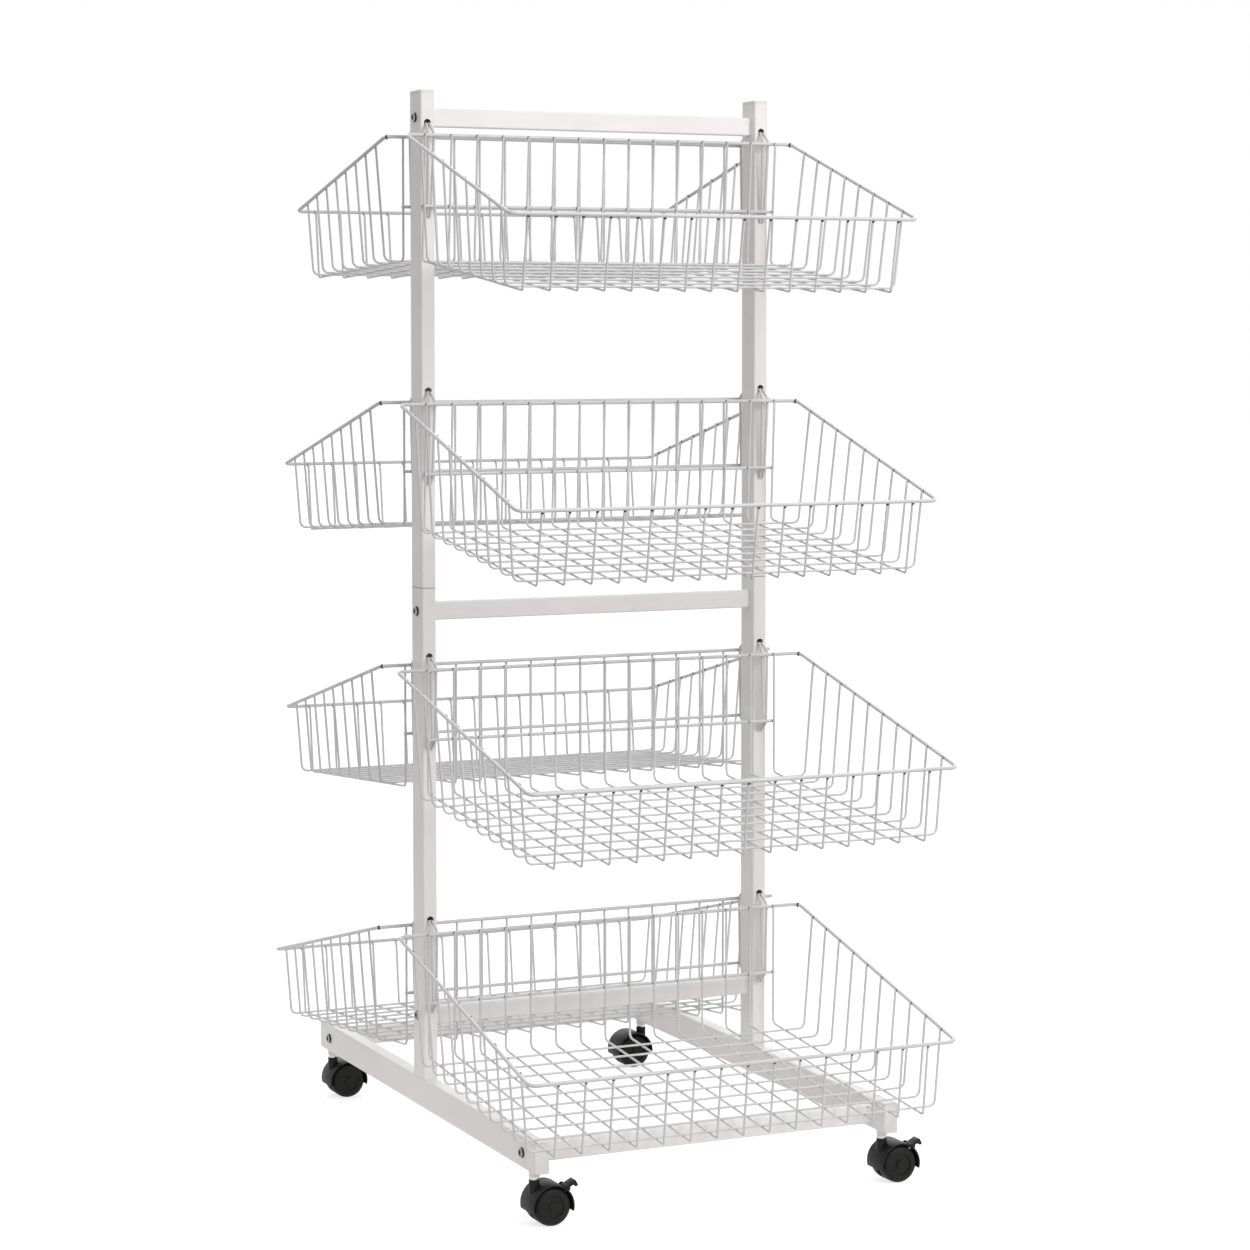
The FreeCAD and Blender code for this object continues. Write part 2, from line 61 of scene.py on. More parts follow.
# %% Place the camera
eye = Vector((-1.8214, -4.0601, 1.1245))
camera_yaw = math.radians(24.73)
camera_pitch = math.radians(-3.54)
focal_pixels = 3224.4
image_pixels = 1250
sensor_width = 36
optical_centre = (624.4, 530.5)
camera_data = bpy.data.cameras.new("camera")
camera_data.sensor_width = sensor_width
camera_data.lens = focal_pixels / image_pixels * sensor_width
camera_data.shift_x = 0.5 - optical_centre[0] / image_pixels
camera_data.shift_y = optical_centre[1] / image_pixels - 0.5
camera = bpy.data.objects.new("camera", camera_data)
camera.location = eye
camera.rotation_euler = (math.pi / 2 + camera_pitch, 0, -camera_yaw)
scene.collection.objects.link(camera)
scene.camera = camera
print("lens", round(camera_data.lens, 1), "mm, shift", round(camera_data.shift_y, 4))

# %% [markdown]
# ## Finishes
# A material here is a small tree of nodes. One helper adds a node, sets its options, and fills its
# sockets with plain values or with the outputs of other nodes. Colours are written as sRGB hex values,
# as a paint shop would give them, and one function turns them to the linear values that Blender uses.
# The patterns are noises on Object coordinates. A noise stays between about 0.3 and 0.7 nearly
# everywhere, so the two tones that it mixes are written further apart than they show.

# %% Helpers for materials
def linear(hex_colour):
    """An sRGB hex colour as linear red, green, blue and full opacity."""
    channels = []
    for start in (1, 3, 5):
        value = int(hex_colour[start:start + 2], 16) / 255
        if value <= 0.04045:
            channels.append(value / 12.92)
        else:
            channels.append(((value + 0.055) / 1.055) ** 2.4)
    return (*channels, 1)


def add_node(tree, kind, sockets=None, **options):
    """Add a shader node with its options, and fill its sockets with values or links."""
    node = tree.nodes.new("ShaderNode" + kind)
    for option, value in options.items():
        setattr(node, option, value)
    for socket, value in (sockets or {}).items():
        if isinstance(value, bpy.types.NodeSocket):
            tree.links.new(value, node.inputs[socket])
        else:
            node.inputs[socket].default_value = value
    return node


def new_finish(name):
    """An empty material, its tree, and the place of each point on its piece."""
    material = bpy.data.materials.new(name)
    material.use_nodes = True
    tree = material.node_tree
    tree.nodes.clear()
    place = add_node(tree, "TexCoord").outputs["Object"]
    return material, tree, place


# %% [markdown]
# ### Powder coat
# The tubes are mild steel with a baked powder coat in a pale warm grey. Powder flows as it bakes and
# leaves a soft orange peel, so the gloss is broken up. The peel is about 1.5 mm across on the real
# coat and is drawn at 3 mm, so that it shows. The tone drifts very slightly along a tube, and handling
# leaves a few duller patches.

# %% Powder coat for posts, rails and feet
tone_drift = 140 * MM
hand_mark = 35 * MM
peel_size = 3 * MM
peel_depth = 0.15 * MM

powder_coat, tree, place = new_finish("powder_coat_pale_grey")
drift = add_node(tree, "TexNoise", {"Vector": place, "Scale": 1 / tone_drift})
tone = add_node(tree, "Mix", {0: drift.outputs["Fac"], "A": linear("#e0dcdb"), "B": linear("#f2efee")},
                data_type="RGBA")
marks = add_node(tree, "TexNoise", {"Vector": place, "Scale": 1 / hand_mark, "Detail": 4})
gloss = add_node(tree, "MapRange", {"Value": marks.outputs["Fac"], "To Min": 0.25, "To Max": 0.6})
peel = add_node(tree, "TexNoise", {"Vector": place, "Scale": 1 / peel_size})
relief = add_node(tree, "Bump", {"Height": peel.outputs["Fac"], "Distance": peel_depth, "Strength": 0.12})
shader = add_node(tree, "BsdfPrincipled", {
    "Base Color": tone.outputs["Result"],
    "Roughness": gloss.outputs["Result"],
    "Normal": relief.outputs["Normal"],
    "IOR": 1.5,
})
add_node(tree, "OutputMaterial", {"Surface": shader.outputs["BSDF"]})

# %% [markdown]
# ### Coated wire
# The baskets are drawn steel wire, welded first and then dipped or sprayed with a pale epoxy coat. The
# coat is very slightly cooler than the paint on the tubes. On a thin round wire the side towards the
# light is nearly white, and the far side is grey. The coat pools at the crossings, so its thickness
# and gloss vary a little along the wire.

# %% Epoxy coat for the wires
coat_pool = 45 * MM
coat_gloss = 12 * MM
coat_ripple = 2.5 * MM
coat_depth = 0.06 * MM

wire_coat, tree, place = new_finish("epoxy_coated_wire")
pooling = add_node(tree, "TexNoise", {"Vector": place, "Scale": 1 / coat_pool, "Detail": 3})
tone = add_node(tree, "Mix", {0: pooling.outputs["Fac"], "A": linear("#c4c3c4"), "B": linear("#dddcdc")},
                data_type="RGBA")
shine = add_node(tree, "TexNoise", {"Vector": place, "Scale": 1 / coat_gloss, "Detail": 3})
gloss = add_node(tree, "MapRange", {"Value": shine.outputs["Fac"], "To Min": 0.15, "To Max": 0.5})
ripple = add_node(tree, "TexNoise", {"Vector": place, "Scale": 1 / coat_ripple})
relief = add_node(tree, "Bump", {"Height": ripple.outputs["Fac"], "Distance": coat_depth, "Strength": 0.15})
shader = add_node(tree, "BsdfPrincipled", {
    "Base Color": tone.outputs["Result"],
    "Roughness": gloss.outputs["Result"],
    "Normal": relief.outputs["Normal"],
    "IOR": 1.52,
    "Specular IOR Level": 0.3,
})
add_node(tree, "OutputMaterial", {"Surface": shader.outputs["BSDF"]})

# %% [markdown]
# ### Weld nuggets
# Each wire end is melted to the rim in a spot welder. The nugget is rough. Its near-black colour is a
# little heat scale and mostly painted shade, for the shadow under the rim and between crossing wires.

# %% Weld nuggets
scale_and_shade_patch = 2.5 * MM
scale_crust = 1 * MM
crust_depth = 0.2 * MM

weld_scale_and_shade, tree, place = new_finish("weld_scale_and_shade")
# The near-black tones are painted shade at the joints, with a little heat scale in them.
patches = add_node(tree, "TexNoise", {"Vector": place, "Scale": 1 / scale_and_shade_patch, "Detail": 3})
tone = add_node(tree, "Mix", {0: patches.outputs["Fac"], "A": linear("#0e0d0d"), "B": linear("#4c4946")},
                data_type="RGBA")
crust = add_node(tree, "TexNoise", {"Vector": place, "Scale": 1 / scale_crust, "Detail": 3})
relief = add_node(tree, "Bump", {"Height": crust.outputs["Fac"], "Distance": crust_depth, "Strength": 0.4})
shader = add_node(tree, "BsdfPrincipled", {
    "Base Color": tone.outputs["Result"],
    "Metallic": 0.4,
    "Roughness": 0.55,
    "Normal": relief.outputs["Normal"],
})
add_node(tree, "OutputMaterial", {"Surface": shader.outputs["BSDF"]})

# %% [markdown]
# ### Black nickel, zinc and turned steel
# The bolts have a dark nickel plate. A ring of turned steel on the shoulder of each head is a painted
# highlight. The caster stems are bright zinc. The axles are turned bar, and the inserts in the rails are
# hidden. A dark dull metal marks where two tubes of a post meet, as painted shade for the gap between
# them. Plating follows the fine marks of the tool under it, about 0.3 mm apart, drawn at 1 mm, and its
# gloss is patchy.

# %% Small metal parts
plate_patch = 8 * MM
plate_gloss = 3 * MM
tool_mark = 1 * MM
tool_depth = 0.05 * MM


def plated(name, dark, light, smooth, rough):
    """A metal finish between two tones and two roughnesses."""
    material, tree, place = new_finish(name)
    patches = add_node(tree, "TexNoise", {"Vector": place, "Scale": 1 / plate_patch, "Detail": 3})
    tone = add_node(tree, "Mix", {0: patches.outputs["Fac"], "A": linear(dark), "B": linear(light)},
                    data_type="RGBA")
    shine = add_node(tree, "TexNoise", {"Vector": place, "Scale": 1 / plate_gloss})
    gloss = add_node(tree, "MapRange", {"Value": shine.outputs["Fac"], "To Min": smooth, "To Max": rough})
    marks = add_node(tree, "TexNoise", {"Vector": place, "Scale": 1 / tool_mark})
    relief = add_node(tree, "Bump", {"Height": marks.outputs["Fac"], "Distance": tool_depth, "Strength": 0.1})
    shader = add_node(tree, "BsdfPrincipled", {
        "Base Color": tone.outputs["Result"],
        "Metallic": 1.0,
        "Roughness": gloss.outputs["Result"],
        "Normal": relief.outputs["Normal"],
    })
    add_node(tree, "OutputMaterial", {"Surface": shader.outputs["BSDF"]})
    return material


black_nickel = plated("black_nickel_plate", "#222224", "#454444", 0.08, 0.3)
stem_zinc = plated("zinc_plated_steel", "#b0b0ae", "#dcdbd8", 0.12, 0.42)
turned_steel = plated("turned_steel", "#7e7d7b", "#b2b1af", 0.18, 0.48)
# A dark dull metal for the post joints, painted shade for the gap between the tubes.
joint_gap_shade = plated("painted_joint_gap_shade", "#2e2c2a", "#5a5855", 0.4, 0.7)

# %% [markdown]
# ### Moulded plastics
# The caster hoods and levers are black nylon from a spark-eroded mould, which leaves a fine matt
# grain of about 0.3 mm, drawn at 0.8 mm. The wheels are smoother and pick up dust from the floor.
# The plugs in the tube ends are polyethylene, in a grey a touch darker than the paint.

# %% Plastics
dust_patch = 15 * MM
touch_patch = 6 * MM
grain_depth = 0.05 * MM


def moulded(name, dark, light, smooth, rough, grain_size, shine):
    """A plastic between two tones and two roughnesses, with the grain of its mould."""
    material, tree, place = new_finish(name)
    dust = add_node(tree, "TexNoise", {"Vector": place, "Scale": 1 / dust_patch, "Detail": 4})
    tone = add_node(tree, "Mix", {0: dust.outputs["Fac"], "A": linear(dark), "B": linear(light)},
                    data_type="RGBA")
    touch = add_node(tree, "TexNoise", {"Vector": place, "Scale": 1 / touch_patch, "Detail": 3})
    gloss = add_node(tree, "MapRange", {"Value": touch.outputs["Fac"], "To Min": smooth, "To Max": rough})
    grain = add_node(tree, "TexNoise", {"Vector": place, "Scale": 1 / grain_size})
    relief = add_node(tree, "Bump", {
        "Height": grain.outputs["Fac"],
        "Distance": grain_depth,
        "Strength": 0.25,
    })
    shader = add_node(tree, "BsdfPrincipled", {
        "Base Color": tone.outputs["Result"],
        "Roughness": gloss.outputs["Result"],
        "Normal": relief.outputs["Normal"],
        "Specular IOR Level": shine,
    })
    add_node(tree, "OutputMaterial", {"Surface": shader.outputs["BSDF"]})
    return material


black_nylon = moulded("black_nylon", "#0a0a0b", "#1c1c1d", 0.3, 0.65, 0.8 * MM, 0.22)
wheel_plastic = moulded("black_polypropylene", "#0b0b0b", "#21211f", 0.35, 0.75, 1.5 * MM, 0.2)
plug_plastic = moulded("grey_polyethylene", "#d5d2cf", "#e8e5e2", 0.35, 0.62, 1.2 * MM, 0.45)
print("materials:", len(bpy.data.materials))

# %% [markdown]
# ## Stage and light
# The photo has a plain white ground. The floor is a white sheet that is large enough to fill the view.
# For the camera and for reflections it glows a little, so its shadows stay pale. For the light that
# bounces off it, only the paper near the stand is white, so the feet are bright from below. The sky is
# white for the camera and for reflections, and dimmer as a source of light. The main light is a softbox
# above the stand, in front of it and to its right. The front faces are brightest at the top and fall
# off towards the floor, as in the photo, and the left faces stay grey. A weak sun from behind keeps the
# back from going dull in other views.

# %% Floor, sky and lamps
floor_size = 60
floor_glow = 0.72
paper_near = 0.5
paper_far = 1.4
sky_light = 0.73
softbox_size = 1.2
softbox_watts = 38
softbox_place = Vector((0.7, -2.5, 2.05))
softbox_aim = Vector((0, 0, 0.9))
sun_watts = 0.9
sun_towards = Vector((0.3, 0.75, 0.6))
sun_width = math.radians(60)


def seen_directly(tree):
    """An output that is 1 for rays from the camera, from gloss or through glass, and 0 for light."""
    path = add_node(tree, "LightPath")
    seen = path.outputs["Is Camera Ray"]
    for ray in ("Is Glossy Ray", "Is Transmission Ray"):
        seen = add_node(tree, "Math", {0: seen, 1: path.outputs[ray]}, operation="MAXIMUM").outputs[0]
    return seen


bpy.ops.mesh.primitive_plane_add(size=floor_size)
floor = bpy.context.object
floor.name = "floor"
floor_white, tree, place = new_finish("floor_white")
seen = seen_directly(tree)
away = add_node(tree, "VectorMath", {0: place}, operation="LENGTH").outputs["Value"]
fade = add_node(tree, "MapRange", {"Value": away, "From Min": paper_near, "From Max": paper_far})
bounce = add_node(tree, "Mix", {0: fade.outputs["Result"], "A": linear("#e8e8e8"), "B": linear("#787878")},
                  data_type="RGBA")
sheet = add_node(tree, "Mix", {0: seen, "A": bounce.outputs["Result"], "B": linear("#b4b4b4")},
                 data_type="RGBA")
paper = add_node(tree, "BsdfDiffuse", {"Color": sheet.outputs["Result"]})
glow = add_node(tree, "MapRange", {"Value": seen, "To Max": floor_glow})
lit = add_node(tree, "Emission", {"Strength": glow.outputs["Result"]})
ground = add_node(tree, "AddShader", {0: paper.outputs["BSDF"], 1: lit.outputs["Emission"]})
add_node(tree, "OutputMaterial", {"Surface": ground.outputs["Shader"]})
floor.data.materials.append(floor_white)

sky = bpy.data.worlds.new("sky")
sky.use_nodes = True
tree = sky.node_tree
tree.nodes.clear()
strength = add_node(tree, "MapRange", {"Value": seen_directly(tree), "To Min": sky_light, "To Max": 1.0})
light = add_node(tree, "Background", {"Color": linear("#ffffff"), "Strength": strength.outputs[0]})
add_node(tree, "OutputWorld", {"Surface": light.outputs[0]})
scene.world = sky

softbox_data = bpy.data.lights.new("softbox", "AREA")
softbox_data.energy = softbox_watts
softbox_data.size = softbox_size
softbox = bpy.data.objects.new("softbox", softbox_data)
softbox.location = softbox_place
softbox.rotation_euler = (softbox_place - softbox_aim).to_track_quat("Z", "Y").to_euler()
softbox.visible_camera = False
scene.collection.objects.link(softbox)
sun_data = bpy.data.lights.new("sun_behind", "SUN")
sun_data.energy = sun_watts
sun_data.angle = sun_width
sun = bpy.data.objects.new("sun_behind", sun_data)
sun.rotation_euler = sun_towards.to_track_quat("Z", "Y").to_euler()
scene.collection.objects.link(sun)
scene.view_settings.view_transform = "Standard"
print("lamps:", softbox.name, sun.name)

# %% [markdown]
# ## Helpers for modelling
# Blender's operators act on whatever is selected, so every step starts from an empty selection. A
# finished piece keeps its place in its mesh and its object at the origin, as the CAD nodes do.

# %% Selecting and applying
def start_fresh():
    """Leave edit mode and deselect everything."""
    if bpy.context.mode != "OBJECT":
        bpy.ops.object.mode_set(mode="OBJECT")
    bpy.ops.object.select_all(action="DESELECT")


def activate(*pieces):
    start_fresh()
    for piece in pieces:
        piece.select_set(True)
    bpy.context.view_layer.objects.active = pieces[-1]


def settle(piece):
    """Bake the place, turn and scale of an object into its mesh."""
    activate(piece)
    bpy.ops.object.transform_apply(location=True, rotation=True, scale=True)


def apply_modifier(piece, kind, **options):
    activate(piece)
    modifier = piece.modifiers.new(kind.lower(), kind)
    for option, value in options.items():
        setattr(modifier, option, value)
    bpy.ops.object.modifier_apply(modifier=modifier.name)


# %% [markdown]
# In edit mode, faces and edges are chosen by where their corners are. Most often they are the ones above
# or below some height. A hair of room allows for rounding.

# %% Picking by place
hair = 0.01 * MM


def pick(piece, kind, test):
    """In edit mode, select only the faces or edges whose corners pass a test."""
    bpy.ops.mesh.select_mode(type="FACE" if kind == "polygons" else "EDGE")
    bpy.ops.mesh.select_all(action="DESELECT")
    bpy.ops.object.mode_set(mode="OBJECT")
    mesh = piece.data
    for element in getattr(mesh, kind):
        corners = [mesh.vertices[number].co for number in element.vertices]
        element.select = test(corners)
    bpy.ops.object.mode_set(mode="EDIT")


def above(height):
    return lambda corners: min(corner.z for corner in corners) > height


def below(height):
    return lambda corners: max(corner.z for corner in corners) < height


# %% [markdown]
# Most of the small pieces start as an upright cylinder. Picked faces are pulled out of it, cutters are
# taken away with a Boolean, and Bevel breaks the sharp edges.

# %% Shaping
smooth_angle = math.radians(35)
soft_steps = 2


def upright(radius, low, high, sides):
    """A cylinder along Z between two heights."""
    start_fresh()
    bpy.ops.mesh.primitive_cylinder_add(vertices=sides, radius=radius, depth=high - low,
                                        location=(0, 0, (low + high) / 2))
    piece = bpy.context.object
    settle(piece)
    return piece


def pull(offset):
    """Pull what is selected out of the mesh."""
    bpy.ops.mesh.extrude_region_move(TRANSFORM_OT_translate={"value": offset})


def cut_out(piece, cutter):
    apply_modifier(piece, "BOOLEAN", operation="DIFFERENCE", object=cutter, solver="EXACT")
    bpy.data.objects.remove(cutter)


def soften(piece, width):
    """Break the sharp edges."""
    apply_modifier(piece, "BEVEL", width=width, segments=soft_steps, limit_method="ANGLE",
                   angle_limit=smooth_angle)


# %% [markdown]
# What repeats is modelled once and copied. The copies are joined to one piece, which gets its finish and
# rides on a body of the stand. The CAD node that it stands for is then hidden.

# %% Joining, copying and dressing
def join(name, pieces):
    """Several meshes as one piece, with the normals outwards and round edges shaded smooth."""
    activate(*pieces)
    if len(pieces) > 1:
        bpy.ops.object.join()
    piece = bpy.context.object
    piece.name = name
    piece.data.name = name
    bpy.ops.object.mode_set(mode="EDIT")
    bpy.ops.mesh.select_all(action="SELECT")
    bpy.ops.mesh.normals_make_consistent(inside=False)
    bpy.ops.object.mode_set(mode="OBJECT")
    bpy.ops.object.shade_smooth_by_angle(angle=smooth_angle)
    return piece


def copy_of(piece, name, matrix=None):
    """A copy with its own mesh, moved by a matrix that is baked into the mesh."""
    copy = piece.copy()
    copy.data = piece.data.copy()
    copy.name = name
    copy.data.name = name
    scene.collection.objects.link(copy)
    if matrix is not None:
        copy.matrix_world = matrix
        settle(copy)
    return copy


def dress(piece, material, body, slot, *replaced):
    """Give a piece its finish, let it ride on a body and hide the CAD nodes that it stands for."""
    piece.data.materials.clear()
    piece.data.materials.append(material)
    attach(piece, body)
    if replaced:
        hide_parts(*replaced)


# %% [markdown]
# ## Bolts
# A round-headed bolt holds each rail end. It is a cylinder whose top edge is bevelled to a dome. A
# six-sided cutter, taken out with a Boolean, makes the key hole, and the shank is pulled out of the
# bottom face. One bolt is modelled at the end of a rail, and the others are copies.

# %% Model one bolt
bolt_radius = 6.5 * MM
bolt_head = 4 * MM
bolt_dome = 2.8 * MM
bolt_shank_radius = 3 * MM
bolt_shank = 36 * MM
bolt_key_radius = 2.31 * MM
bolt_key_depth = 2 * MM
bolt_sides = 40
key_sides = 6
dome_steps = 6

bolt = upright(bolt_radius, 0, bolt_head, bolt_sides)
bpy.ops.object.mode_set(mode="EDIT")
pick(bolt, "edges", above(bolt_head - hair))
bpy.ops.mesh.bevel(offset=bolt_dome, segments=dome_steps)
pick(bolt, "polygons", below(hair))
bpy.ops.mesh.inset(thickness=bolt_radius - bolt_shank_radius)
pull((0, 0, -bolt_shank))
cut_out(bolt, upright(bolt_key_radius, bolt_head - bolt_key_depth, bolt_head + bolt_key_depth, key_sides))
print("bolt faces:", len(bolt.data.polygons))

# %% Put a bolt at each end of each rail
bolt_seat = 260 * MM
# Faces of a bolt head between these distances from its axis get turned steel, a painted highlight on the
# dome's shoulder.
bolt_highlight_from = 4.4 * MM
bolt_highlight_to = 5.9 * MM
bolt_copies = []
bolt_axes = []
for rail in ("rail_top", "rail_middle", "rail_bottom", "base_rail_front", "base_rail_rear"):
    low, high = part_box(rail)
    middle = (low + high) / 2
    bolt_axes.append(middle)
    for side in (-1, 1):
        place = Matrix.Translation((side * bolt_seat, middle.y, middle.z))
        turn = Matrix.Rotation(side * math.pi / 2, 4, "Y")
        bolt_copies.append(copy_of(bolt, "bolt_copy", place @ turn))
bpy.data.objects.remove(bolt)
rail_bolts = join("rail_bolts_domed", bolt_copies)
dress(rail_bolts, black_nickel, "stand", "zinc", "rail_bolts")
# A ring on the shoulder of each head takes the brighter turned steel, as a painted highlight.
rail_bolts.data.materials.append(turned_steel)
for face in rail_bolts.data.polygons:
    off_axis = min(math.hypot(face.center.y - middle.y, face.center.z - middle.z) for middle in bolt_axes)
    face.material_index = 1 if bolt_highlight_from < off_axis < bolt_highlight_to else 0
print("bolts:", len(bolt_copies))

# %% [markdown]
# ## Plugs
# The open tube ends are closed by plastic plugs. Each is a box with rounded corners and a softly
# rounded top edge. Its lower part is pulled down into the tube, where a ridge would grip.

# %% Model one plug for each head height
tube_wide = 20 * MM
tube_deep = 40 * MM
tube_corner = 2.5 * MM
tube_wall = 1.5 * MM
plug_depth = 11 * MM
plug_edge = 1.2 * MM
corner_steps = 5
edge_steps = 3


def tube_block(proud, low, high):
    """A box with the rounded outline of a tube, a little proud of it, left in edit mode."""
    start_fresh()
    bpy.ops.mesh.primitive_cube_add(size=1, location=(0, 0, (low + high) / 2),
                                    scale=(tube_wide + 2 * proud, tube_deep + 2 * proud, high - low))
    block = bpy.context.object
    settle(block)
    bpy.ops.object.mode_set(mode="EDIT")
    pick(block, "edges", lambda corners: abs(corners[0].z - corners[1].z) > (high - low) / 2)
    bpy.ops.mesh.bevel(offset=tube_corner, segments=corner_steps)
    return block


def model_plug(head):
    plug = tube_block(0, 0, head)
    pick(plug, "edges", above(head - hair))
    bpy.ops.mesh.bevel(offset=plug_edge, segments=edge_steps)
    pick(plug, "polygons", below(hair))
    bpy.ops.mesh.inset(thickness=tube_wall)
    pull((0, 0, -plug_depth))
    start_fresh()
    return plug


# %% Close the posts and the feet
post_side = 250 * MM
post_head = 5 * MM
foot_head = 2 * MM
post_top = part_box("post_upper_left")[1].z
foot_low, foot_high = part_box("foot_left")
foot_middle = (foot_low.z + foot_high.z) / 2

plug = model_plug(post_head)
post_caps = [copy_of(plug, "cap", Matrix.Translation((side * post_side, 0, post_top))) for side in (-1, 1)]
bpy.data.objects.remove(plug)
dress(join("post_plugs_rounded", post_caps), plug_plastic, "stand", "grey_plastic", "post_plugs")

plug = model_plug(foot_head)
foot_caps = []
for side in (-1, 1):
    for end in (-1, 1):
        place = Matrix.Translation((side * post_side, end * foot_high.y, foot_middle))
        turn = Matrix.Rotation(-end * math.pi / 2, 4, "X")
        foot_caps.append(copy_of(plug, "cap", place @ turn))
bpy.data.objects.remove(plug)
dress(join("foot_plugs_rounded", foot_caps), plug_plastic, "stand", "grey_plastic", "foot_plugs")
print("plugs:", len(post_caps) + len(foot_caps))

# %% [markdown]
# ## Joints of the posts
# Each post is made of two tubes that stand end to end. The joint shows as a fine dark line round the
# post, which is painted shade for the narrow gap between the tubes. The line is a low box with the
# rounded corners of the tube, without its top and bottom, and stands out from the coat by a hair.

# %% Model one line and copy it
joint_height = 0.7 * MM
joint_proud = 0.06 * MM
joint_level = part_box("post_upper_left")[0].z

line = tube_block(joint_proud, -joint_height / 2, joint_height / 2)
for end in (below(0), above(0)):
    pick(line, "polygons", end)
    bpy.ops.mesh.delete(type="FACE")
start_fresh()
lines = [copy_of(line, "line", Matrix.Translation((side * post_side, 0, joint_level))) for side in (-1, 1)]
bpy.data.objects.remove(line)
# The joint line carries painted shade for the gap between the tubes.
dress(join("post_joint_lines", lines), joint_gap_shade, "stand", "frame_enamel")
print("joint lines:", len(lines))

# %% [markdown]
# ## Caster wheels
# Each caster has two wheels under one hood. A wheel is a short cylinder. Its outer edge is bevelled
# to a wide round shoulder, and its face is inset twice: once to sink a dish and once to raise the hub.

# %% Model one wheel with its outer face up
wheel_radius = 25 * MM
wheel_wide = 17 * MM
wheel_shoulder = 8 * MM
dish_radius = 14 * MM
dish_depth = 1.6 * MM
hub_radius = 6 * MM
wheel_edge = 0.5 * MM
ring_slack = 0.05 * MM
wheel_sides = 72
shoulder_steps = 8


def ring_edges(radius, height):
    """A test for the edges of a circle about the Z axis at one height."""
    def on_ring(corners):
        return all(abs(corner.z - height) < hair and abs(corner.xy.length - radius) < ring_slack
                   for corner in corners)
    return on_ring


wheel = upright(wheel_radius, 0, wheel_wide, wheel_sides)
bpy.ops.object.mode_set(mode="EDIT")
pick(wheel, "edges", ring_edges(wheel_radius, wheel_wide))
bpy.ops.mesh.bevel(offset=wheel_shoulder, segments=shoulder_steps)
pick(wheel, "polygons", above(wheel_wide - hair))
bpy.ops.mesh.inset(thickness=wheel_radius - wheel_shoulder - dish_radius)
pull((0, 0, -dish_depth))
bpy.ops.mesh.inset(thickness=dish_radius - hub_radius)
pull((0, 0, dish_depth))
for ring_radius in (dish_radius, hub_radius):
    pick(wheel, "edges", ring_edges(ring_radius, wheel_wide))
    bpy.ops.mesh.bevel(offset=wheel_edge, segments=soft_steps)
start_fresh()
print("wheel faces:", len(wheel.data.polygons))

# %% [markdown]
# ## Caster hoods
# The hood is a shell of black nylon over both wheels, with a web between them and a neck round the
# swivel pin. The shell starts as a cylinder without ends. A bisect removes its lower part, Solidify
# gives it a wall and Bevel breaks the edges. The neck is cut to the shell's inside with a Boolean. The
# hood of a braked caster also has a slot and two ears for the lever's pin.

# %% Model a hood about its stem, with the wheels trailing along X
caster_trail = 18 * MM
axle = Vector((caster_trail, 0, wheel_radius))
web_half = 3.5 * MM
web_gap = 0.6 * MM
wheel_inner = web_half + web_gap
hood_half = wheel_inner + wheel_wide
hood_radius = 28.5 * MM
hood_wall = 2 * MM
hood_inner = hood_radius - hood_wall
skirt_height = 18 * MM
neck_radius = 7 * MM
neck_top = 58 * MM
neck_start = 34 * MM
hood_edge = 0.6 * MM
hood_sides = 96
pin_sides = 48
brake_place = math.radians(40)
brake_stand_off = 2 * MM
brake_out = hood_radius + brake_stand_off
brake_pin = axle + Vector((math.cos(brake_place), 0, math.sin(brake_place))) * brake_out
brake_half = 8 * MM
slot_half = 8.4 * MM
slot_radius = 5.6 * MM
ear_radius = 4 * MM
ear_thick = 2.5 * MM


def drum(radius, half, centre, sides, ends="NGON"):
    """A cylinder along Y."""
    start_fresh()
    bpy.ops.mesh.primitive_cylinder_add(vertices=sides, radius=radius, depth=2 * half, location=centre,
                                        rotation=(math.pi / 2, 0, 0), end_fill_type=ends)
    piece = bpy.context.object
    settle(piece)
    return piece


def trim_skirt(piece, fill):
    """Remove what lies below the lower edge of the hood."""
    activate(piece)
    bpy.ops.object.mode_set(mode="EDIT")
    bpy.ops.mesh.select_all(action="SELECT")
    bpy.ops.mesh.bisect(plane_co=(0, 0, skirt_height), plane_no=(0, 0, 1), clear_inner=True, use_fill=fill)
    start_fresh()


def model_hood(braked):
    shell = drum(hood_radius, hood_half, axle, hood_sides, ends="NOTHING")
    trim_skirt(shell, fill=False)
    apply_modifier(shell, "SOLIDIFY", thickness=hood_wall, offset=-1)
    web = drum(hood_inner + hood_wall / 2, web_half, axle, hood_sides)
    trim_skirt(web, fill=True)
    neck = upright(neck_radius, neck_start, neck_top, pin_sides)
    cut_out(neck, drum(hood_inner, hood_half, axle, hood_sides))
    pieces = [shell, web, neck]
    if braked:
        cut_out(shell, drum(slot_radius, slot_half, brake_pin, pin_sides))
        for side in (-1, 1):
            ear_middle = brake_pin + Vector((0, side * (slot_half + ear_thick / 2), 0))
            pieces.append(drum(ear_radius, ear_thick / 2, ear_middle, pin_sides))
    for piece in pieces:
        soften(piece, hood_edge)
    return join("hood", pieces)


hoods = {braked: model_hood(braked) for braked in (True, False)}
print("hood faces:", len(hoods[True].data.polygons))

# %% [markdown]
# ## Brake levers
# A lever is a short foot tab on a boss that turns on the hood's pin. The tab is a box with a loop cut
# across it by bisect, so that the end of its underside can be pulled down to a lip. Bevels make it
# look moulded.

# %% Model the lever at its pin, with the brake off
tab_length = 15 * MM
tab_thick = 4 * MM
lip_drop = 4 * MM
tab_slope = math.radians(28)
boss_radius = 3 * MM
lever_edge = 0.8 * MM

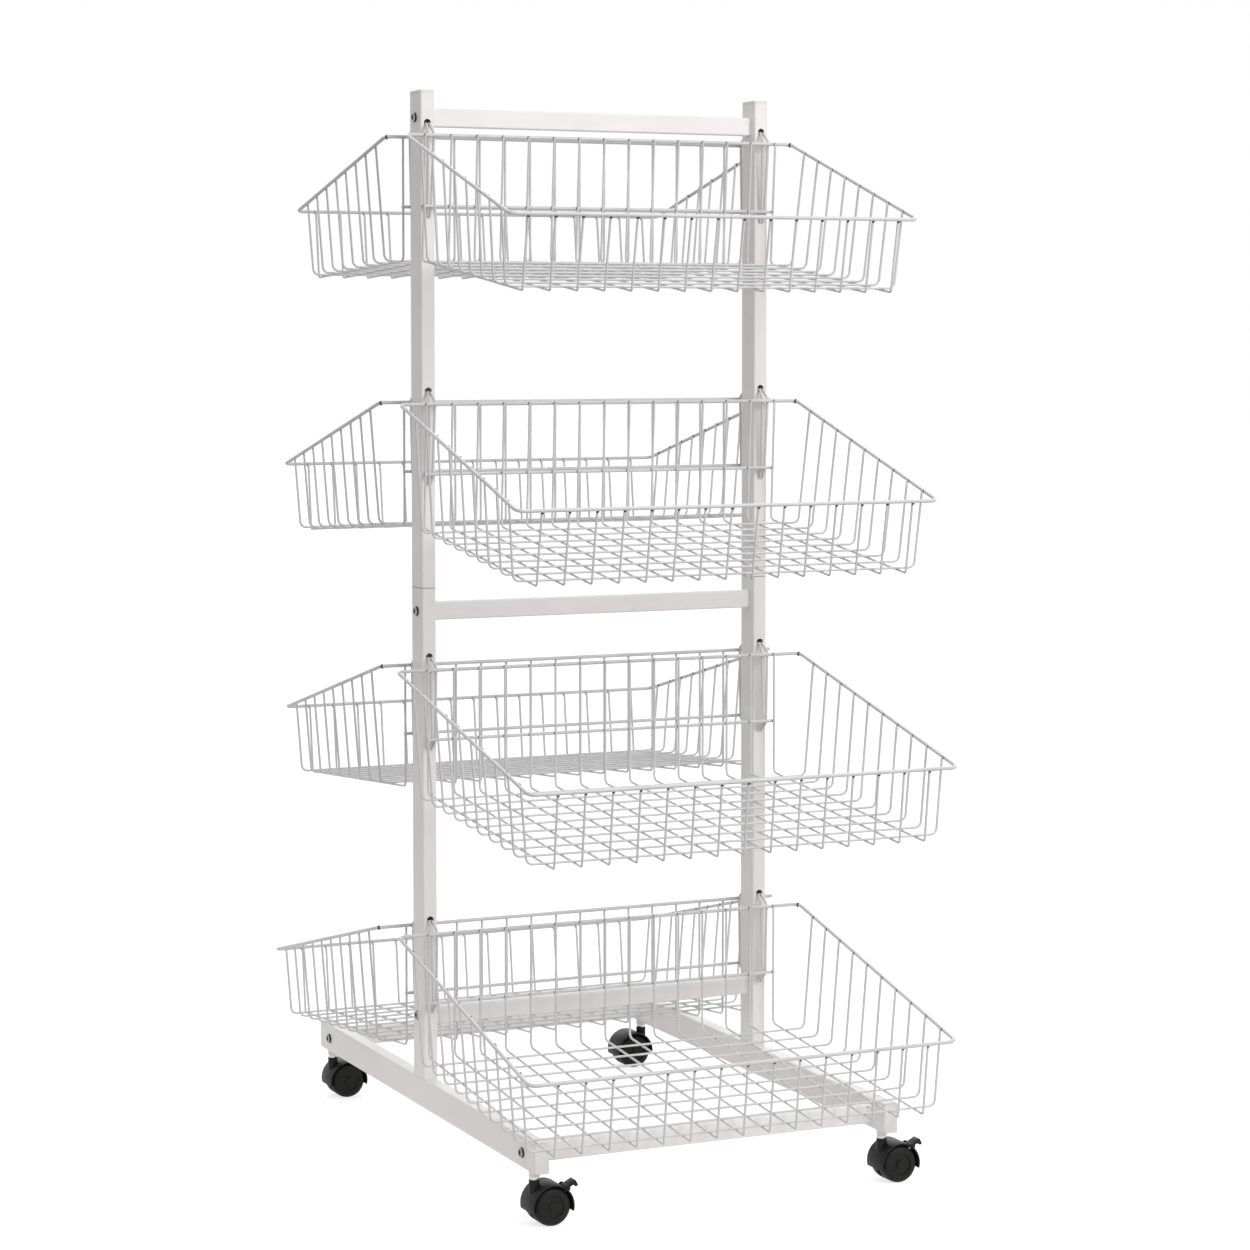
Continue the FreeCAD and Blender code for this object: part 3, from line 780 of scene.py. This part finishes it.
start_fresh()
bpy.ops.mesh.primitive_cube_add(size=1, location=(tab_length / 2, 0, 0),
                                scale=(tab_length, 2 * brake_half, tab_thick))
tab = bpy.context.object
settle(tab)
bpy.ops.object.mode_set(mode="EDIT")
bpy.ops.mesh.select_all(action="SELECT")
bpy.ops.mesh.bisect(plane_co=(tab_length - tab_thick, 0, 0), plane_no=(1, 0, 0))
pick(tab, "polygons", lambda corners: max(corner.z for corner in corners) < 0
     and min(corner.x for corner in corners) > tab_length / 2)
pull((0, 0, -lip_drop))
soften(tab, lever_edge)
boss = drum(boss_radius, brake_half, (0, 0, 0), pin_sides)
soften(boss, lever_edge / 2)
lever = join("lever", [tab, boss])
lever.matrix_world = Matrix.Translation(brake_pin) @ Matrix.Rotation(-tab_slope, 4, "Y")
settle(lever)
print("lever faces:", len(lever.data.polygons))

# %% [markdown]
# ## Caster stems
# A bright collar shows between the hood and the foot. The stem goes up into the foot and the swivel
# pin goes down into the neck, so both are pulled out of the collar's end faces.

# %% Model one stem
collar_radius = 6.5 * MM
collar_low = 58.3 * MM
collar_high = 63 * MM
stem_radius = 5 * MM
stem_rise = 34 * MM
pin_radius = 4 * MM
pin_drop = 10 * MM

stem = upright(collar_radius, collar_low, collar_high, pin_sides)
bpy.ops.object.mode_set(mode="EDIT")
pick(stem, "polygons", above(collar_high - hair))
bpy.ops.mesh.inset(thickness=collar_radius - stem_radius)
pull((0, 0, stem_rise))
pick(stem, "polygons", below(collar_low + hair))
bpy.ops.mesh.inset(thickness=collar_radius - pin_radius)
pull((0, 0, -pin_drop))
soften(stem, hood_edge)
print("stem faces:", len(stem.data.polygons))

# %% [markdown]
# ## Set the casters under the feet
# At rest three casters trail to the right and the rear right one trails to the left, as they stopped
# when the stand was last pushed. Only the front two have brakes.

# %% Copy the caster pieces to the four corners
caster_out = 377 * MM
corners = {
    "front_left": (-1, -1, 0, True),
    "front_right": (1, -1, 0, True),
    "rear_left": (-1, 1, 0, False),
    "rear_right": (1, 1, math.pi, False),
}
stem_copies = []
for corner, (side, end, heading, braked) in corners.items():
    place = Matrix.Translation((side * post_side, end * caster_out, 0)) @ Matrix.Rotation(heading, 4, "Z")
    stem_copies.append(copy_of(stem, "stem_copy", place))
    hood = copy_of(hoods[braked], "hood_moulded_" + corner, place)
    dress(hood, black_nylon, "swivel_" + corner, "black_plastic", "caster_hood_" + corner)
    pair = []
    for face in (-1, 1):
        inner = Matrix.Translation(axle + Vector((0, face * wheel_inner, 0)))
        turn = Matrix.Rotation(-face * math.pi / 2, 4, "X")
        pair.append(copy_of(wheel, "wheel_copy", place @ inner @ turn))
    wheels = join("wheels_moulded_" + corner, pair)
    dress(wheels, wheel_plastic, "wheels_" + corner, "black_tread", "caster_wheels_" + corner)
    if braked:
        tab = copy_of(lever, "lever_moulded_" + corner, place)
        dress(tab, black_nylon, "brake_lever_" + corner, "black_plastic", "brake_lever_" + corner)
for pattern in (wheel, lever, stem, *hoods.values()):
    bpy.data.objects.remove(pattern)
dress(join("caster_stems_turned", stem_copies), stem_zinc, "stand", "zinc", "caster_stems")
print("casters:", len(corners))

# %% [markdown]
# ## Bending a wire
# All the baskets are made of round wire. A wire is made as on a bending bench: a ring of points is
# pulled along a straight run, spun round the bend, pulled along the next run, and so on. Spin turns
# about an axis, which is square to the two runs that meet at the bend. It turns the other way than the
# axis suggests, so the axis is reversed.

# %% The wire bender
wire_sides = 12
bend_step = math.radians(13)
seam_gap = 0.02 * MM


def bent_wire(points, bends, diameter, closed=False):
    """A wire through the points, in millimetres, with a bend radius at each inner point."""
    track = [Vector(point) * MM for point in points]
    if closed:
        middle = (track[-1] + track[0]) / 2
        track = [middle] + track + [middle]
        bends = [0] + list(bends) + [0]
    heading = (track[1] - track[0]).normalized()
    start_fresh()
    bpy.ops.mesh.primitive_circle_add(vertices=wire_sides, radius=diameter / 2 * MM, location=track[0],
                                      rotation=heading.to_track_quat("Z", "Y").to_euler())
    wire = bpy.context.object
    settle(wire)
    bpy.ops.object.mode_set(mode="EDIT")
    bpy.ops.mesh.select_mode(type="EDGE")
    bpy.ops.mesh.select_all(action="SELECT")
    here = track[0]
    for number in range(1, len(track) - 1):
        before = (track[number] - track[number - 1]).normalized()
        after = (track[number + 1] - track[number]).normalized()
        turn = before.angle(after)
        radius = bends[number] * MM
        reach = radius * math.tan(turn / 2)
        bend_start = track[number] - before * reach
        axis = before.cross(after).normalized()
        centre = bend_start + axis.cross(before) * radius
        pull(bend_start - here)
        bpy.ops.mesh.spin(steps=math.ceil(turn / bend_step), angle=turn, center=centre, axis=-axis)
        here = track[number] + after * reach
    pull(track[-1] - here)
    bpy.ops.mesh.select_all(action="SELECT")
    if closed:
        bpy.ops.mesh.remove_doubles(threshold=seam_gap)
    else:
        bpy.ops.mesh.fill_holes(sides=0)
    bpy.ops.mesh.normals_make_consistent(inside=False)
    start_fresh()
    return wire


# %% [markdown]
# ## The shape of a basket
# Every basket is drawn behind the stand, with its hook holes at height 0. The rim starts level with
# the hooks at the back and falls towards the front. The back wall is deep, the front wall is low and
# leans out. The three sizes differ in depth and in how far the rim stands outside the mesh.

# %% Sizes of the baskets in millimetres
post_face = tube_deep / 2 / MM
back_stand_off = 19
rim_wire = 5
mid_wire = 4.5
mesh_wire = 3
hook_wire = 3.5
weld_bite = 0.2
top_wire_out = post_face + back_stand_off
top_wire_height = -16
mid_wire_height = -110
mid_wire_over = 1.5
back_floor = -182.5
rim_fall = 0.244
front_wall = 95.5
front_lean = 15.3
run_count = 15
run_half = 261
cross_first = 48
cross_pitch = 40
cross_last = 35
side_slope = 0.08
rim_bend = 10
cross_bend = 9
back_bend = 8
front_bend = 4
wire_stub = 1.2
rim_to_mesh = (rim_wire + mesh_wire) / 2 - weld_bite
run_back_out = top_wire_out + rim_to_mesh
mid_wire_out = run_back_out - (mid_wire + mesh_wire) / 2 + weld_bite
run_pitch = 2 * run_half / (run_count - 1)
run_places = [run_pitch * number - run_half for number in range(run_count)]


class BasketSize:
    """The lines of one size of basket: its rim, its floor and the places of its cross wires."""

    def __init__(self, cross_count, back_over, front_over):
        self.back_half = run_half + back_over
        self.front_half = run_half + front_over
        self.cross_outs = [top_wire_out + cross_first + cross_pitch * number for number in range(cross_count)]
        self.rim_out = self.cross_outs[-1] + cross_last
        self.rim_height = self.rim_at(self.rim_out)
        self.floor_out = self.rim_out - front_lean
        self.front_floor = self.rim_height - front_wall
        self.slope = (self.front_floor - back_floor) / (self.floor_out - run_back_out)

    def rim_at(self, out):
        return top_wire_height - rim_fall * (out - top_wire_out)

    def half_at(self, out):
        share = (out - top_wire_out) / (self.rim_out - top_wire_out)
        return self.back_half + (self.front_half - self.back_half) * share

    def floor_at(self, out):
        return back_floor + self.slope * (out - run_back_out)

    def front_direction(self):
        """Direction of the run wires up the front wall, as lean and length."""
        out = self.rim_out - self.floor_out
        length = math.hypot(out, front_wall)
        inwards = math.asin(rim_to_mesh / length)
        return math.atan2(front_wall, out) + inwards, length * math.cos(inwards)


sizes = {
    "small": BasketSize(8, 26.5, 27),
    "medium": BasketSize(9, 36.5, 35),
    "large": BasketSize(10, 42.5, 40),
}
for name, size in sizes.items():
    print(name, "rim", round(size.rim_out), "mm out,", round(-size.rim_height), "mm down")

# %% [markdown]
# ## Rim, middle wire and mesh
# The rim is one closed loop, butt-welded at a back corner. The run wires are all alike, so one is bent
# and an Array modifier repeats it across the basket. Each cross wire has its own width, because the
# sides taper, so they are bent one by one.

# %% Model the wires of a size
def model_rim(size):
    points = [
        (-size.back_half, top_wire_out, top_wire_height),
        (size.back_half, top_wire_out, top_wire_height),
        (size.front_half, size.rim_out, size.rim_height),
        (-size.front_half, size.rim_out, size.rim_height),
    ]
    return bent_wire(points, [rim_bend] * len(points), rim_wire, closed=True)


def model_mid_wire():
    half = run_half + mesh_wire / 2 + mid_wire_over
    return bent_wire([(-half, mid_wire_out, mid_wire_height), (half, mid_wire_out, mid_wire_height)],
                     [0, 0], mid_wire)


def model_run_wires(size):
    lean, length = size.front_direction()
    rise = length + wire_stub
    points = [
        (-run_half, run_back_out, top_wire_height + wire_stub),
        (-run_half, run_back_out, back_floor),
        (-run_half, size.floor_out, size.front_floor),
        (-run_half, size.floor_out + rise * math.cos(lean), size.front_floor + rise * math.sin(lean)),
    ]
    wire = bent_wire(points, [0, back_bend, front_bend, 0], mesh_wire)
    apply_modifier(wire, "ARRAY", count=run_count, use_relative_offset=False, use_constant_offset=True,
                   constant_offset_displace=(run_pitch * MM, 0, 0))
    return wire


def model_cross_wires(size):
    lift = (mesh_wire - weld_bite) / math.cos(math.atan(size.slope))
    wires = []
    for out in size.cross_outs:
        top_half = size.half_at(out) - rim_to_mesh
        side_high = size.rim_at(out) - size.floor_at(out) - lift
        floor_half = top_half - side_slope * side_high
        floor = Vector((floor_half, out, size.rim_at(out) - side_high))
        side = Vector((top_half, out, size.rim_at(out))) - floor
        top = floor + side * (1 + wire_stub / side.length)
        points = [(-top.x, top.y, top.z), (-floor.x, floor.y, floor.z), floor, top]
        wires.append(bent_wire(points, [0, cross_bend, cross_bend, 0], mesh_wire))
    return wires


# %% [markdown]
# ## Hooks
# Two hooks carry a basket. Each is one wire, bent double: a loop that goes through the hole in the post
# and dips behind its wall, and two legs that run down behind the rim and the middle wire. Below the
# middle wire the legs end in a tip that leans on the post, and sets the slope of the basket.

# %% Model a hook
hole_radius = 5
hook_gap = 2.2
hook_spread = 4
hook_tip = 1.9
hook_seat = 0.5
hook_low = math.sqrt((hole_radius - hook_wire / 2 - hook_seat) ** 2 - hook_gap ** 2)
post_wall = tube_wall / MM
pivot_out = post_face - post_wall / 2
tip_drop = 125
tip_rest = 0.3
loop_past_wall = 2.5
loop_shoulder = 2.6
loop_inside = post_face - post_wall - loop_past_wall
loop_outside = post_face + loop_shoulder
loop_tail = 6
loop_dip = math.radians(40)
shoulder_up = 3
knee_below = 2
leg_bend = 5
loop_bend = 4
tail_bend = 2.1


def model_hook(hang):
    leg_top = top_wire_out - (rim_wire + hook_wire) / 2 + weld_bite
    leg_bottom = mid_wire_out - (mid_wire + hook_wire) / 2 + weld_bite
    clear = hook_wire / 2 + tip_rest + post_wall / 2
    tip_out = pivot_out + (clear + (tip_drop - hook_low) * math.sin(hang)) / math.cos(hang)
    tail_out = loop_inside - loop_tail * math.cos(loop_dip)
    tail_height = -hook_low - loop_tail * math.sin(loop_dip)
    half = [
        (hook_tip, tip_out, -tip_drop, 0),
        (hook_gap, leg_bottom, mid_wire_height - knee_below, leg_bend),
        (hook_spread, leg_top, top_wire_height + shoulder_up, leg_bend),
        (hook_gap, loop_outside, -hook_low, loop_bend),
        (hook_gap, loop_inside, -hook_low, loop_bend),
        (hook_gap, tail_out, tail_height, tail_bend),
    ]
    points = [(-x, out, height) for x, out, height, bend in half]
    points += [(x, out, height) for x, out, height, bend in reversed(half)]
    bends = [bend for x, out, height, bend in half]
    return bent_wire(points, bends + bends[::-1], hook_wire)


# %% [markdown]
# ## Weld nuggets
# Where two wires cross at the rim, at the middle wire or at a hook, the welder leaves a squashed nugget,
# coloured near black as painted shade for the shadow at the joint. The rim itself is closed by a butt
# weld in one back corner, which leaves a bead round the wire. There are hundreds of them, so one small
# sphere with few faces is flattened and copied.

# %% Model the nuggets of a size
nugget_radius = 2.1
nugget_flat = 0.75
nugget_sides = 8
nugget_rings = 6
bead_radius = 3.3
# The front nuggets sit this far below the rim, so that their painted shade shows as dark dots under it.
front_weld_drop = 3.5
across = Vector((1, 0, 0))
outwards = Vector((0, 1, 0))


def nugget_places(size):
    """Centre, flat direction and radius of each nugget, in millimetres."""
    lean, length = size.front_direction()
    up = Vector((0, math.cos(lean), math.sin(lean)))
    inwards = Vector((0, -math.sin(lean), math.cos(lean)))
    front = Vector((0, size.rim_out, size.rim_height)) + inwards * (rim_wire / 2) - up * front_weld_drop
    corner = Vector((-size.back_half, top_wire_out, top_wire_height))
    onward = (Vector((-size.front_half, size.rim_out, size.rim_height)) - corner).normalized()
    half_turn = onward.angle(-across) / 2
    inside_bend = rim_bend * (1 / math.cos(half_turn) - 1)
    places = [(corner + (onward + across).normalized() * inside_bend, onward - across, bead_radius)]
    for x in run_places:
        back = Vector((x, top_wire_out + rim_wire / 2, top_wire_height))
        middle = Vector((x, mid_wire_out + mid_wire / 2, mid_wire_height))
        places.append((back, outwards, nugget_radius))
        places.append((middle, outwards, nugget_radius))
        places.append((front + across * x, inwards, nugget_radius))
    for side in (-1, 1):
        for out in size.cross_outs:
            half = size.half_at(out) - rim_wire / 2
            places.append((Vector((side * half, out, size.rim_at(out))), across, nugget_radius))
        for leg in (-1, 1):
            x = side * post_side / MM
            high = Vector((x + leg * hook_spread, top_wire_out - rim_wire / 2, top_wire_height))
            low = Vector((x + leg * hook_gap, mid_wire_out - mid_wire / 2, mid_wire_height))
            places.append((high, outwards, nugget_radius))
            places.append((low, outwards, nugget_radius))
    return places


def model_nuggets(size):
    start_fresh()
    bpy.ops.mesh.primitive_uv_sphere_add(segments=nugget_sides, ring_count=nugget_rings, radius=MM)
    nugget = bpy.context.object
    nugget.scale = (1, 1, nugget_flat)
    settle(nugget)
    copies = []
    for centre, flat, radius in nugget_places(size):
        copy = copy_of(nugget, "nugget_copy")
        turn = flat.to_track_quat("Z", "Y").to_matrix().to_4x4()
        copy.matrix_world = Matrix.Translation(centre * MM) @ turn @ Matrix.Scale(radius, 4)
        copies.append(copy)
    bpy.data.objects.remove(nugget)
    activate(*copies)
    bpy.ops.object.transform_apply(location=True, rotation=True, scale=True)
    return join("nuggets", copies)


# %% [markdown]
# ## Hang the baskets
# The patterns of the three sizes are modelled once. Each basket is a copy that is tipped about its
# hooks, raised to its holes, and turned round if it hangs in front. The top two front baskets hang a
# little lower at the front than the others.

# %% Model the patterns
patterns = {}
for name, size in sizes.items():
    patterns[name] = {
        "rim": join("rim", [model_rim(size), model_mid_wire()]),
        "run_wires": join("run_wires", [model_run_wires(size)]),
        "cross_wires": join("cross_wires", model_cross_wires(size)),
        "welds": model_nuggets(size),
    }
    print(name, {key: len(piece.data.polygons) for key, piece in patterns[name].items()})

# %% Copy them to the posts
hole_heights = [1402, 1044, 686, 328]
baskets = [
    ("front", 1, "small", 4.3),
    ("front", 2, "medium", 3.4),
    ("front", 3, "large", 0),
    ("front", 4, "large", 0),
    ("rear", 1, "small", 0),
    ("rear", 2, "medium", 0),
    ("rear", 3, "medium", 0),
    ("rear", 4, "large", 0),
]
pivot = Vector((0, pivot_out, -hook_low)) * MM
for side, level, size_name, hang_degrees in baskets:
    hang = math.radians(hang_degrees)
    tip = Matrix.Translation(pivot) @ Matrix.Rotation(-hang, 4, "X") @ Matrix.Translation(-pivot)
    facing = Matrix.Rotation(math.pi if side == "front" else 0, 4, "Z")
    place = facing @ Matrix.Translation((0, 0, hole_heights[level - 1] * MM)) @ tip
    body = "basket_%s_%d" % (side, level)
    hook = model_hook(hang)
    hooks = [copy_of(hook, "hook_copy", Matrix.Translation((end * post_side, 0, 0))) for end in (-1, 1)]
    bpy.data.objects.remove(hook)
    drawn = join("drawn", [copy_of(patterns[size_name]["rim"], "rim_copy"), *hooks])
    carrier = copy_of(drawn, body + "_rim_and_hooks", place)
    bpy.data.objects.remove(drawn)
    dress(carrier, wire_coat, body, "wire_enamel", body + "_frame")
    for kind in ("run_wires", "cross_wires"):
        mesh = copy_of(patterns[size_name][kind], body + "_" + kind + "_round", place)
        dress(mesh, wire_coat, body, "wire_enamel", body + "_" + kind)
    # The welds carry near-black painted shade at the joints of the wires.
    welds = copy_of(patterns[size_name]["welds"], body + "_welds", place)
    dress(welds, weld_scale_and_shade, body, "wire_enamel")
for pattern in patterns.values():
    for piece in pattern.values():
        bpy.data.objects.remove(piece)
print("baskets:", len(baskets))

# %% [markdown]
# ## Finishes of the CAD nodes
# The tubes, rails, sleeves and sockets keep their CAD shapes and take the powder coat. The hidden
# inserts and the axles are plain turned steel.

# %% Dress the frame
for name, node in nodes.items():
    if node.hide_render:
        continue
    steel = name == "rail_inserts" or name.startswith("caster_axle")
    for slot in node.material_slots:
        slot.material = turned_steel if steel else powder_coat
print("CAD nodes shown:", sum(not node.hide_render for node in nodes.values()))
